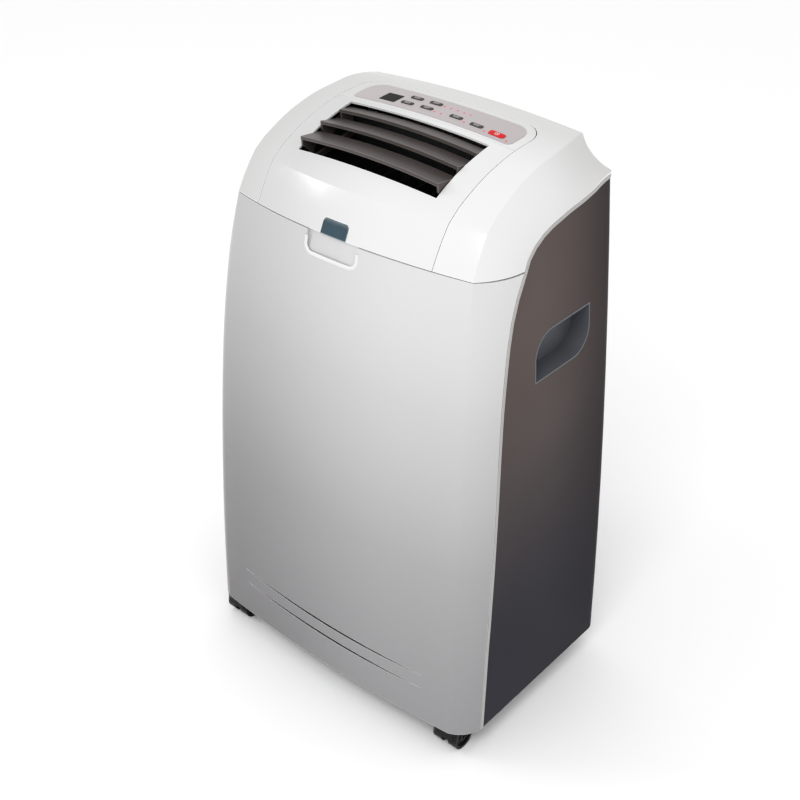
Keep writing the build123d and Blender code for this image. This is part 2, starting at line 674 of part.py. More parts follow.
with BuildPart() as cup_stock:
    with BuildSketch(Plane.YZ.offset(HANDLE_FLOOR)):
        add(handle_outline(GAP))
    extrude(amount=SIDE_BOTTOM - HANDLE_FLOOR)
with BuildPart() as handle_cup_right:
    for i in range(4):
        z = HANDLE_LOW - 10 + (HANDLE_HIGH - HANDLE_LOW + 20) * i / 3
        with BuildSketch(Plane.XY.offset(z)):
            with Locations((side_x(z) - 0.2, 0)):
                Rectangle(HANDLE_STOCK, FAR, align=(Align.MAX, Align.CENTER))
    loft()
    add(cup_stock.part, mode=Mode.INTERSECT)
    with BuildSketch(Plane.YZ.offset(HANDLE_FLOOR + HANDLE_WALL)):
        add(handle_outline(GAP + HANDLE_WALL))
    extrude(amount=FAR, mode=Mode.SUBTRACT)
save("handle_cup_right", handle_cup_right.part)
save("handle_cup_left", mirror(handle_cup_right.part, about=Plane.YZ))

# ---- Base, wheels and back ------------------------------------------------
def base_outline(inset):
    z = SHELL_BOTTOM
    x, corner = side_x(z) - inset, crease_x(z) - 0.6 * inset
    line_y, nose, back = SIDE_LINE[0][1] + 2.0, nose_y(z) + inset, back_y(z) - inset
    with BuildSketch(mode=Mode.PRIVATE) as plan:
        with BuildLine():
            ThreePointArc((-corner, nose), (0, nose - bow(z)), (corner, nose))
            Polyline((corner, nose), (x, line_y), (x, back - BACK_CORNER))
            Polyline((x, back - BACK_CORNER), (x - BACK_CORNER, back), (-x + BACK_CORNER, back))
            Polyline((-x + BACK_CORNER, back), (-x, back - BACK_CORNER), (-x, line_y), (-corner, nose))
        make_face()
    return plan.sketch


with BuildPart() as base_pan:
    with BuildSketch(Plane.XY.offset(BASE_LOW)):
        add(base_outline(7.0))
    extrude(amount=BASE_THICK)
    with BuildSketch(Plane.XY.offset(BASE_LOW)):
        add(base_outline(7.0))
        add(base_outline(9.5), mode=Mode.SUBTRACT)
    extrude(amount=BASE_RIM)
    for x, y in CASTERS:
        with Locations((x, y, BASE_LOW + SOCKET_TALL / 2)):
            Cylinder(SOCKET_R, SOCKET_TALL)
    for x, y in CASTERS:
        with Locations((x, y, BASE_LOW)):
            Cylinder(STEM_R + RUN, 3 * SOCKET_TALL, mode=Mode.SUBTRACT)
    # Ears that hold the front panel's hinge pins.
    for sign in (-1, 1):
        near, far = sign * (PIN_X + EAR_START), sign * (PIN_X + EAR_START + EAR_WIDE)
        add(
            box(
                (min(near, far), PIN_Y - EAR_HALF, BASE_LOW),
                (max(near, far), PIN_Y + EAR_HALF + 2, PIN_Z + EAR_HALF + 1),
            )
        )
        start, end = (near - sign, PIN_Y, PIN_Z), (far + sign, PIN_Y, PIN_Z)
        add(rod(start, end, PANEL_PIN_R + RUN), mode=Mode.SUBTRACT)
save("base_pan", base_pan.part)

for name, (x, y) in zip(CASTER_NAMES, CASTERS):
    wheel_y = y + (-TRAIL if y < 0 else TRAIL)
    axle = (x, wheel_y, WHEEL_R)
    with BuildPart() as caster_hood:
        with BuildSketch(Plane.XY.offset(HOOD_LOW)) as hood:
            with Locations((x, wheel_y)):
                Rectangle(2 * HOOD_HALF_X, 2 * HOOD_HALF_Y)
            fillet(hood.vertices(), HOOD_ROUND)
        extrude(amount=HOOD_TOP - HOOD_LOW)
        for sign in (-1, 1):
            inner = x + sign * CHEEK
            outer = inner + sign * FAR
            space = rod((inner, wheel_y, WHEEL_R), (outer, wheel_y, WHEEL_R), WHEEL_R + WHEEL_ROOM)
            add(space, mode=Mode.SUBTRACT)
        add(box((x - CHEEK, wheel_y - 9, WHEEL_R - 5.5), (x + CHEEK, wheel_y + 9, HOOD_LOW + 1)))
        add(rod((x - AXLE_HALF, wheel_y, WHEEL_R), (x + AXLE_HALF, wheel_y, WHEEL_R), AXLE_R))
        add(rod((x, y, HOOD_TOP - 6), (x, y, BASE_LOW + SOCKET_TALL + 2), STEM_R))
    save("caster_hood_" + name, caster_hood.part)
    with BuildPart() as caster_wheels:
        for sign in (-1, 1):
            near, far = x + sign * (CHEEK + GAP), x + sign * (CHEEK + GAP + WHEEL_WIDE)
            before, beyond = (near - sign, wheel_y, WHEEL_R), (far + sign, wheel_y, WHEEL_R)
            dish = (far - sign * DISH_DEEP, wheel_y, WHEEL_R)
            add(rod((near, wheel_y, WHEEL_R), (far, wheel_y, WHEEL_R), WHEEL_R))
            add(rod(dish, beyond, WHEEL_R - TYRE), mode=Mode.SUBTRACT)
            add(rod((near, wheel_y, WHEEL_R), (far - sign, wheel_y, WHEEL_R), AXLE_R + HUB_WALL))
            add(rod(before, beyond, AXLE_R + RUN), mode=Mode.SUBTRACT)
    save("caster_wheels_" + name, caster_wheels.part)


def back_slab(skin, wall, low, high, trim):
    """Slice of the rear wall between two heights."""
    with BuildPart(mode=Mode.PRIVATE) as slab:
        for i in range(4):
            z = low + (high - low) * i / 3
            half, back = side_x(z) - REAR_RETURN - trim, back_y(z) + skin
            with BuildSketch(Plane.XY.offset(z)):
                with Locations((0, back)):
                    Rectangle(2 * half, wall, align=(Align.CENTER, Align.MAX))
        loft()
    return slab.part


screw_spots = [(sign * SCREW_X, z) for sign in (-1, 1) for z in SCREW_Z]
with BuildPart() as rear_panel:
    add(back_slab(0.0, WALL, SHELL_BOTTOM + 1.0, SPLIT_HEIGHT + CAP_FOOT - SEAM, GAP))
    intake_low = (-GRILLE_HALF - GAP, 0, GRILLE_LOW - GRILLE_FOOT_GAP)
    add(box(intake_low, (GRILLE_HALF + GAP, FAR, GRILLE_HIGH + GAP)), mode=Mode.SUBTRACT)
    pin_y, pin_z, pin_end = back_y(GRILLE_LOW) - WALL / 2, GRILLE_LOW + GRILLE_PIN_UP, GRILLE_HALF + 6
    add(rod((-pin_end, pin_y, pin_z), (pin_end, pin_y, pin_z), GRILLE_PIN_R + RUN), mode=Mode.SUBTRACT)
    vent_low = (-VENT_HALF - GAP, 0, VENT_LOW - GAP)
    add(box(vent_low, (VENT_HALF + GAP, FAR, VENT_HIGH + GAP)), mode=Mode.SUBTRACT)
    add(rod((0, 0, PORT_Z), (0, FAR, PORT_Z), PORT_R + PORT_WALL + GAP), mode=Mode.SUBTRACT)
    for x, z in DRAINS:
        add(rod((x, 0, z), (x, FAR, z), DRAIN_R + WALL + GAP), mode=Mode.SUBTRACT)
    add(rod((GLAND_X, 0, GLAND_Z), (GLAND_X, FAR, GLAND_Z), GLAND_R + GAP), mode=Mode.SUBTRACT)
    for x, z in screw_spots:
        add(rod((x, 0, z), (x, FAR, z), SCREW_R + 0.2), mode=Mode.SUBTRACT)
save("rear_panel", rear_panel.part)

with BuildPart() as rear_screws:
    for x, z in screw_spots:
        face = back_y(z) + 0.3
        add(rod((x, face - SCREW_LONG, z), (x, face, z), SCREW_R))
        add(rod((x, face, z), (x, face + 2.0, z), SCREW_HEAD_R))
        add(box((x - 2.6, face + 1.0, z - 0.5), (x + 2.6, face + 3.0, z + 0.5)), mode=Mode.SUBTRACT)
        add(box((x - 0.5, face + 1.0, z - 2.6), (x + 0.5, face + 3.0, z + 2.6)), mode=Mode.SUBTRACT)
save("rear_screws", rear_screws.part)


def louvred_frame(half, low, high, back, depth, pitch):
    """Grille: rectangular frame, sloping slats and three stiffeners."""
    front = back - depth
    with BuildPart(mode=Mode.PRIVATE) as frame:
        add(box((-half, front, low), (half, back, high)))
        add(box((-half + RIM, front - 1, low + RIM), (half - RIM, back + 1, high - RIM)), mode=Mode.SUBTRACT)
        count = int((high - low - 2 * RIM) / pitch)
        step = (high - low - 2 * RIM) / count
        for i in range(1, count):
            z = low + RIM + step * i
            with BuildSketch(Plane.YZ.offset(-half + RIM / 2)):
                with BuildLine():
                    slat = [(front, z + 3.0), (back - 0.8, z - 2.0), (back - 0.8, z - 0.4), (front, z + 4.6)]
                    Polyline(*slat, slat[0])
                make_face()
            extrude(amount=2 * half - RIM)
        for x in (-half / 2, 0, half / 2):
            add(box((x - 1.2, front, low + 1), (x + 1.2, back - 2.5, high - 1)))
    return frame.part


grille_back = back_y(GRILLE_LOW) + 0.8
vent_back = back_y(VENT_HIGH) + 0.8
grille_axis = (back_y(GRILLE_LOW) - WALL / 2, GRILLE_LOW + GRILLE_PIN_UP)
with BuildPart() as intake_grille:
    add(louvred_frame(GRILLE_HALF, GRILLE_LOW, GRILLE_HIGH, grille_back, GRILLE_DEEP, SLAT_PITCH))
    for sign in (-1, 1):
        add(
            rod(
                (sign * (GRILLE_HALF - 2), *grille_axis),
                (sign * (GRILLE_HALF + GRILLE_PIN_OUT), *grille_axis),
                GRILLE_PIN_R,
            )
        )
save("intake_grille", intake_grille.part)
with BuildPart() as lower_grille:
    add(louvred_frame(VENT_HALF, VENT_LOW, VENT_HIGH, vent_back, GRILLE_DEEP, SLAT_PITCH))
save("lower_grille", lower_grille.part)

filter_back = grille_back - GRILLE_DEEP - 0.3
with BuildPart() as filter_frame:
    frame_low = (-GRILLE_HALF + 3, filter_back - 3, GRILLE_LOW + 3)
    add(box(frame_low, (GRILLE_HALF - 3, filter_back, GRILLE_HIGH - 3)))
    pitch_x, pitch_z = (2 * GRILLE_HALF - 14) / 4, (GRILLE_HIGH - GRILLE_LOW - 14) / 2
    for row in range(2):
        for column in range(4):
            x = -GRILLE_HALF + 10 + column * pitch_x
            z = GRILLE_LOW + 10 + row * pitch_z
            cell = box((x, filter_back - FAR, z), (x + pitch_x - 6, filter_back + 1, z + pitch_z - 6))
            add(cell, mode=Mode.SUBTRACT)
save("filter_frame", filter_frame.part)
with BuildPart() as filter_mesh:
    add(
        box(
            (-GRILLE_HALF + 5, filter_back - 4.1, GRILLE_LOW + 5),
            (GRILLE_HALF - 5, filter_back - 3.3, GRILLE_HIGH - 5),
        )
    )
save("filter_mesh", filter_mesh.part)

port_face = back_y(PORT_Z)
with BuildPart() as exhaust_collar:
    add(rod((0, port_face - PORT_INSIDE, PORT_Z), (0, COLLAR_END, PORT_Z), PORT_R + PORT_WALL))
    add(rod((0, port_face + 1.7, PORT_Z), (0, port_face + 4.2, PORT_Z), PORT_R + PORT_FLANGE))
    add(rod((0, COLLAR_END - 4, PORT_Z), (0, COLLAR_END - 2, PORT_Z), PORT_R + PORT_WALL + 1.5))
    add(rod((0, 0, PORT_Z), (0, FAR, PORT_Z), PORT_R), mode=Mode.SUBTRACT)
save("exhaust_collar", exhaust_collar.part)

with BuildPart() as drain_spouts:
    for x, z in DRAINS:
        face = back_y(z)
        add(rod((x, face - 22, z), (x, face + 2, z), DRAIN_R + WALL))
        add(rod((x, face + 0.6, z), (x, face + 2.5, z), DRAIN_R + WALL + 3))
        add(rod((x, face - 19, z), (x, face + FAR, z), DRAIN_R), mode=Mode.SUBTRACT)
save("drain_spouts", drain_spouts.part)

for name, (x, z) in zip(("upper", "lower"), DRAINS):
    face = back_y(z)
    with BuildPart() as drain_plug:
        add(rod((x, face - 8, z), (x, face + 5, z), DRAIN_R - RUN))
        add(rod((x, face + 2.9, z), (x, face + 7, z), DRAIN_R + 3.5))
        add(box((x - 5, face + 6, z - 1.2), (x + 5, face + 12, z + 1.2)))
    save("drain_plug_" + name, drain_plug.part)

with BuildPart() as cord_gland:
    face = back_y(GLAND_Z)
    add(rod((GLAND_X, face - 10, GLAND_Z), (GLAND_X, face + 4, GLAND_Z), GLAND_R))
    add(rod((GLAND_X, face + 0.6, GLAND_Z), (GLAND_X, face + 3, GLAND_Z), GLAND_R + 3))
    add(rod((GLAND_X, 0, GLAND_Z), (GLAND_X, FAR, GLAND_Z), GLAND_R - 4.5), mode=Mode.SUBTRACT)
save("cord_gland", cord_gland.part)

# ---- Louvres --------------------------------------------------------------
def arched_blade(profile):
    """Blade with a side-on profile, arched upwards from end to end."""
    with BuildPart(mode=Mode.PRIVATE) as blade:
        for i in range(5):
            share = i / 2.0 - 1.0
            arch = 1.0 - share * share
            with BuildSketch(Plane.YZ.offset(share * BLADE_HALF)):
                with BuildLine():
                    points = [(y, z + BLADE_ARCH * arch) for y, z in profile]
                    Polyline(*points, points[0])
                make_face()
        loft()
    return blade.part


for name, (front_y, front_z, rear_y, rear_z) in BLADES:
    pivot_y, pivot_z = front_y + PIVOT_BACK, front_z - PIVOT_DROP
    with BuildPart() as louvre:
        add(
            arched_blade(
                (
                    (front_y, front_z),
                    (rear_y, rear_z),
                    (rear_y, rear_z - BLADE_THICK),
                    (front_y + 2.0, front_z - BLADE_THICK),
                    (front_y + 1.4, front_z - BLADE_LIP),
                    (front_y, front_z - BLADE_LIP),
                )
            )
        )
        for sign in (-1, 1):
            with BuildSketch(Plane.YZ.offset(sign * (BLADE_HALF - BLADE_CHEEK / 2))):
                with BuildLine():
                    Polyline(
                        (front_y, front_z),
                        (rear_y, rear_z),
                        (pivot_y + PIN_R + 2, pivot_z - 2),
                        (pivot_y - PIN_R, pivot_z - PIN_R - 2),
                        (front_y + 1.0, front_z - BLADE_LIP - 7.0),
                        (front_y, front_z),
                    )
                make_face()
            extrude(amount=BLADE_CHEEK / 2, both=True)
            start = (sign * (BLADE_HALF - BLADE_CHEEK), pivot_y, pivot_z)
            add(rod(start, (sign * PIN_END, pivot_y, pivot_z), PIN_R))
        crank_z = pivot_z - CRANK_DROP
        inner = -(BLADE_HALF - BLADE_CHEEK)
        add(box((inner - BLADE_CHEEK, pivot_y - 3, crank_z - 3), (inner, pivot_y + 3, pivot_z)))
        add(rod((inner, pivot_y, crank_z), (inner + 6.0, pivot_y, crank_z), CRANK_PIN_R))
    save("louvre_" + name, louvre.part)

cranks = [(f + PIVOT_BACK, z - PIVOT_DROP - CRANK_DROP) for name, (f, z, ry, rz) in BLADES]
with BuildPart() as louvre_link:
    low_x = -(BLADE_HALF - BLADE_CHEEK) + 0.6
    with BuildSketch(Plane.YZ.offset(low_x)):
        with BuildLine():
            first, last = cranks[0], cranks[2]
            bar = [
                (first[0] - LINK_END, first[1] - LINK_HALF),
                (last[0] + LINK_END, last[1] - LINK_HALF),
                (last[0] + LINK_END, last[1] + LINK_HALF),
                (first[0] - LINK_END, first[1] + LINK_HALF),
            ]
            Polyline(*bar, bar[0])
        make_face()
        with BuildLine():
            y, z = cranks[1]
            eye = [(y + dy * LINK_END, z + dz * LINK_END) for dy, dz in ((-1, -1), (1, -1), (1, 1), (-1, 1))]
            Polyline(*eye, eye[0])
        make_face()
    extrude(amount=LINK_THICK)
    for y, z in cranks:
        add(rod((low_x - 1, y, z), (low_x + LINK_THICK + 1, y, z), CRANK_PIN_R + RUN), mode=Mode.SUBTRACT)
save("louvre_link", louvre_link.part)

with BuildPart() as outlet_duct:
    wall_in, wall_out = OUTLET_HALF + 1.0, OUTLET_HALF + 4.0
    with BuildSketch(Plane.YZ.offset(-wall_out)):
        with BuildLine():
            Polyline(*DUCT_SIDE, DUCT_SIDE[0])
        make_face()
    extrude(amount=2 * wall_out)
    with BuildSketch(Plane.YZ.offset(-wall_in)):
        with BuildLine():
            Polyline(*DUCT_CORE, DUCT_CORE[0])
        make_face()
    extrude(amount=2 * wall_in, mode=Mode.SUBTRACT)
    for name, (front_y, front_z, rear_y, rear_z) in BLADES:
        y, z = front_y + PIVOT_BACK, front_z - PIVOT_DROP
        add(rod((-FAR, y, z), (FAR, y, z), PIN_R + RUN), mode=Mode.SUBTRACT)
save("outlet_duct", outlet_duct.part)

middle = BLADES[1][1]
with BuildPart() as louvre_motor:
    y, z = middle[0] + PIVOT_BACK, middle[1] - PIVOT_DROP
    add(rod((PIN_END + 0.8, y, z), (PIN_END + 16, y, z), 10.0))
    add(box((PIN_END + 0.8, y - 16, z - 2.5), (PIN_END + 3.0, y + 16, z + 2.5)))
save("louvre_motor", louvre_motor.part)

with BuildPart() as guide_vanes:
    for i in range(7):
        x = -75.0 + 25.0 * i
        add(box((x - 0.8, VANE_FRONT, VANE_LOW), (x + 0.8, VANE_BACK, VANE_HIGH)))
    bar_end, bar_y, bar_z = OUTLET_HALF + 0.6, VANE_BACK - 8, VANE_LOW + 8
    add(rod((-bar_end, bar_y, bar_z), (bar_end, bar_y, bar_z), 2.0))
save("guide_vanes", guide_vanes.part)


# ---- Refrigeration and air handling inside --------------------------------
def coil(low, high, front, back, half):
    """Finned heat exchanger: thin fins on straight tubes between two end plates."""
    with BuildPart(mode=Mode.PRIVATE) as block:
        add(box((-half, front, low), (-half + END_PLATE, back, high)))
        add(box((half - END_PLATE, front, low), (half, back, high)))
        for i in range(1, FIN_COUNT):
            x = -half + 2 * half * i / FIN_COUNT
            add(box((x - FIN_HALF, front + 1, low + 1), (x + FIN_HALF, back - 1, high - 1)))
        for i in range(TUBE_ROWS):
            z = low + (high - low) * (i + 0.5) / TUBE_ROWS
            y = (front + back) / 2
            add(rod((-half - TUBE_OUT, y, z), (half + TUBE_OUT, y, z), PIPE_R))
    return block.part


with BuildPart() as evaporator:
    add(coil(GRILLE_LOW, GRILLE_HIGH - 10, COIL_FRONT, COIL_BACK, COIL_HALF))
save("evaporator", evaporator.part)
with BuildPart() as condenser:
    add(coil(VENT_LOW, VENT_HIGH - 8, COIL_FRONT, COIL_BACK, COIL_HALF - 20))
save("condenser", condenser.part)

with BuildPart() as bulkhead:
    add(box((-BULKHEAD_HALF, -88, BULKHEAD_Z), (BULKHEAD_HALF, 118, BULKHEAD_Z + WALL)))
    add(box((-BULKHEAD_HALF, -88, BULKHEAD_Z), (BULKHEAD_HALF, -85, BULKHEAD_Z + 16)))
    add(box((-BULKHEAD_HALF, 115, BULKHEAD_Z), (BULKHEAD_HALF, 118, BULKHEAD_Z + 10)))
    add(box((-BULKHEAD_HALF, -88, BULKHEAD_Z), (-BULKHEAD_HALF + 3, 118, BULKHEAD_Z + 16)))
    add(box((BULKHEAD_HALF - 3, -88, BULKHEAD_Z), (BULKHEAD_HALF, 118, BULKHEAD_Z + 16)))
    for x in (-BULKHEAD_HALF, BULKHEAD_HALF - 6):
        for y in (-80, 60):
            add(box((x, y, BASE_LOW + BASE_THICK + 0.3), (x + 6, y + 14, BULKHEAD_Z)))
save("bulkhead", bulkhead.part)


def scroll_housing(y, z, radius, half, throat):
    """Open-sided blower housing with a rectangular throat: (low corner, high corner)."""
    with BuildPart(mode=Mode.PRIVATE) as housing:
        add(rod((-half, y, z), (half, y, z), radius))
        add(box((-half, throat[0], throat[1]), (half, throat[2], throat[3])))
        add(rod((-half + 2.5, y, z), (half - 2.5, y, z), radius - 2.5), mode=Mode.SUBTRACT)
        grow = THROAT_OPEN
        add(
            box(
                (-half + 2.5, throat[0] + grow[0], throat[1] + grow[1]),
                (half - 2.5, throat[2] + grow[2], throat[3] + grow[3]),
            ),
            mode=Mode.SUBTRACT,
        )
        add(rod((-half - 1, y, z), (half + 1, y, z), radius * 0.62), mode=Mode.SUBTRACT)
    return housing.part


def squirrel_cage(y, z, radius, half, blades, bore):
    """Drum fan: backplate and hub, ring of blades and end rings."""
    with BuildPart(mode=Mode.PRIVATE) as wheel:
        for x in (-half, half - 2.0):
            add(rod((x, y, z), (x + 2.0, y, z), radius))
            add(rod((x - 1, y, z), (x + 3.0, y, z), radius - 14), mode=Mode.SUBTRACT)
        add(rod((-1.0, y, z), (1.0, y, z), radius - 1))
        add(rod((-12, y, z), (12, y, z), bore + 5))
        add(rod((-half - 1, y, z), (half + 1, y, z), bore), mode=Mode.SUBTRACT)
        with BuildSketch(Plane.YZ.offset(-half + 0.5)):
            with Locations((y, z)):
                with PolarLocations(radius - 6.5, blades):
                    Rectangle(9.0, 1.4, rotation=35)
        extrude(amount=2 * half - 1.0)
    return wheel.part


with BuildPart() as upper_blower_housing:
    add(
        scroll_housing(
            UPPER_FAN_Y, UPPER_FAN_Z, UPPER_FAN_R + FAN_ROOM, UPPER_FAN_HALF + FAN_ROOM,
            (UPPER_FAN_Y - UPPER_FAN_R - FAN_ROOM, UPPER_FAN_Z, UPPER_FAN_Y - 6, DUCT_FOOT - 0.5),
        )
    )
save("upper_blower_housing", upper_blower_housing.part)
with BuildPart() as lower_blower_housing:
    add(
        scroll_housing(
            LOWER_FAN_Y, LOWER_FAN_Z, LOWER_FAN_R + FAN_ROOM, LOWER_FAN_HALF + FAN_ROOM,
            (LOWER_FAN_Y - LOWER_FAN_R - FAN_ROOM, LOWER_FAN_Z, LOWER_FAN_Y - 2, PORT_Z),
        )
    )
save("lower_blower_housing", lower_blower_housing.part)

with BuildPart() as upper_fan:
    add(squirrel_cage(UPPER_FAN_Y, UPPER_FAN_Z, UPPER_FAN_R, UPPER_FAN_HALF, 30, SHAFT_R + 0.03))
save("upper_fan", upper_fan.part)
with BuildPart() as lower_fan:
    add(squirrel_cage(LOWER_FAN_Y, LOWER_FAN_Z, LOWER_FAN_R, LOWER_FAN_HALF, 24, SHAFT_R + 0.03))
save("lower_fan", lower_fan.part)


def fan_motor(y, z, start, length, radius):
    """Can motor with its shaft through the fan."""
    with BuildPart(mode=Mode.PRIVATE) as motor:
        add(rod((start, y, z), (start + length, y, z), radius))
        add(rod((start - 4, y, z), (start, y, z), radius * 0.45))
        add(rod((-16, y, z), (start, y, z), SHAFT_R))
        for turn in range(3):
            a = math.radians(90 + 120 * turn)
            tip = (radius + 9) * math.cos(a), (radius + 9) * math.sin(a)
            add(rod((start + 4, y, z), (start + 4, y + tip[0], z + tip[1]), 3.0))
    return motor.part


with BuildPart() as upper_fan_motor:
    add(fan_motor(UPPER_FAN_Y, UPPER_FAN_Z, UPPER_FAN_HALF + 16, 42.0, 32.0))
save("upper_fan_motor", upper_fan_motor.part)
with BuildPart() as lower_fan_motor:
    add(fan_motor(LOWER_FAN_Y, LOWER_FAN_Z, LOWER_FAN_HALF + 14, 22.0, 28.0))
save("lower_fan_motor", lower_fan_motor.part)

with BuildPart() as compressor:
    x, y = COMPRESSOR
    foot = BASE_LOW + BASE_THICK
    with Locations((x, y, foot + 8 + COMPRESSOR_TALL / 2)):
        Cylinder(COMPRESSOR_R, COMPRESSOR_TALL)
    fillet(compressor.edges().filter_by(GeomType.CIRCLE), 16.0)
    with Locations((x, y, foot + 6)):
        Cylinder(COMPRESSOR_R + 4, 4.0)
    for turn in range(3):
        with Locations((x, y, 0)):
            with PolarLocations(COMPRESSOR_R + 2, 1, start_angle=30 + 120 * turn):
                with Locations((0, 0, foot + 4.2)):
                    Cylinder(7.0, 7.8)
    with Locations((x, y + 20, foot + COMPRESSOR_TALL + 10)):
        Cylinder(8.0, 16.0)
save("compressor", compressor.part)

with BuildPart() as electrical_box:
    add(box(ELECTRICAL[0], ELECTRICAL[1]))
    fillet(electrical_box.edges().filter_by(Axis.Z), 5.0)
save("electrical_box", electrical_box.part)

with BuildPart() as refrigerant_pipes:
    x, y = COMPRESSOR
    top = BASE_LOW + COMPRESSOR_TALL + 25
    hot_x, hot_y, hot_z = x - 20, y - 20, top + 40
    coil_x, coil_y = 165.0, (COIL_FRONT + COIL_BACK) / 2
    hot_line = (
        (hot_x, hot_y, top - 10),
        (hot_x, hot_y, hot_z),
        (coil_x, hot_y, hot_z),
        (coil_x, coil_y, hot_z),
        (coil_x, coil_y, VENT_HIGH - 18),
    )
    cold_x, cold_y, cold_z, wall_x = x + 20, y - 25, top + 20, 185.0
    cold_line = (
        (cold_x, cold_y, top - 10),
        (cold_x, cold_y, cold_z),
        (wall_x, cold_y, cold_z),
        (wall_x, cold_y, GRILLE_LOW + 40),
        (wall_x, COIL_FRONT - 10, GRILLE_LOW + 40),
    )
    add(tube_along(hot_line, PIPE_R, 12.0))
    add(tube_along(cold_line, PIPE_R, 10.0))
save("refrigerant_pipes", refrigerant_pipes.part)
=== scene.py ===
"""Looks of the portable air conditioner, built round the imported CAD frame."""

import json
import math

import bpy
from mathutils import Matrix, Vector
from mathutils.bvhtree import BVHTree
from mathutils.kdtree import KDTree


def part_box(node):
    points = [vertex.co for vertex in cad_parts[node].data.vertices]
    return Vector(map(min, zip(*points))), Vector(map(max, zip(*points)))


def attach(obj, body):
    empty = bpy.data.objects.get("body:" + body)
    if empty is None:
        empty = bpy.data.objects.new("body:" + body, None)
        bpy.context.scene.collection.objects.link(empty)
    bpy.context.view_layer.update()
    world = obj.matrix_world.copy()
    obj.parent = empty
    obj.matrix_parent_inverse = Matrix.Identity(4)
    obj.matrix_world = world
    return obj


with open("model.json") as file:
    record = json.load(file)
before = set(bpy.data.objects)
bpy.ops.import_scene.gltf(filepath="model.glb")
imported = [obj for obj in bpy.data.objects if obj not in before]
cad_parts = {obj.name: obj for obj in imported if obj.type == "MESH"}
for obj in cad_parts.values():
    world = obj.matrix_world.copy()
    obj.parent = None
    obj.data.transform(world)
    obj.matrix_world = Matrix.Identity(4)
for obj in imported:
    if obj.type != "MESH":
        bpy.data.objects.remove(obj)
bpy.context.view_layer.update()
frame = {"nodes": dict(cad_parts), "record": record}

# Lengths are in metres throughout.
SMOOTH_ANGLE = math.radians(24)
WELD = 2e-5
SAMPLE_STEP = 0.006
LONG_FACE = 3
MOST_STEPS = 12
SOFT_REACH = 0.016
SOFT_TURN = math.cos(math.radians(17))
SHELLS = (
    "front_panel", "top_cover", "outlet_panel", "control_panel", "control_overlay",
    "side_panel_left", "side_panel_right", "trim_left", "trim_right", "receiver_window",
)

# Width of the painted highlight along sharp edges.
EDGE_WIDTH = 0.0012
# Heights over which the silver paint's painted shade deepens towards the foot.
PANEL_FOOT, PANEL_TOP = 0.02, 0.68

# Foot grooves of the front panel: name, height at the middle, height at the ends, half length.
GROOVES = (("upper", 0.107, 0.110, 0.163), ("lower", 0.0855, 0.0885, 0.158))
GROOVE_SHARE = 0.97
GROOVE_STEPS = 60
GROOVE_HALF_WIDE = 0.0019
GROOVE_TIP = 0.0002
GROOVE_TAPER = 0.8

# Finger scoop of the front panel, and the lip round it.
SCOOP_MIDDLE, SCOOP_HALF = 0.001, 0.038
SCOOP_TOP, SCOOP_FOOT, SCOOP_ROUND = 0.6475, 0.6285, 0.010
LIP_HALF_WIDE, LIP_PROUD, LIP_SINK = 0.0024, 0.0010, 0.0002
UPRIGHT_POINTS, UPRIGHT_STEP = 5, 0.0015
CORNER_STEPS = 8
FOOT_STEPS = 12

# Legend bars: place behind the button's middle, and length.
LEGEND_ROWS = ((0.0009, 0.0095), (-0.0011, 0.0075))
LEGEND_WIDE, LEGEND_LIFT = 0.0009, 0.00012
POWER_BACK, POWER_RADIUS, POWER_LIFT = 0.0012, 0.0024, 0.00015
POWER_LINE, POWER_ARC_BAR = (0.0009, 0.0026), (0.0014, 0.0007)
POWER_ARC_START, POWER_ARC_SWEEP, POWER_ARC_BARS = 125, 290, 12

BEAD_STEPS = 8
BAR_STEPS = 6
LOOK_FROM = 2.0
FORWARD = (0.0, 1.0, 0.0)
DOWN = (0.0, 0.0, -1.0)

FLOOR_SIZE = 14.0
LAMP_AIM = (0, 0, 0.6)
CAMERA_PLACE = (0.9192, -1.0817, 1.3108)
CAMERA_LOOK = (-0.54407, 0.63459, -0.54889)
CAMERA_SENSOR, CAMERA_LENS = 36.0, 60.13


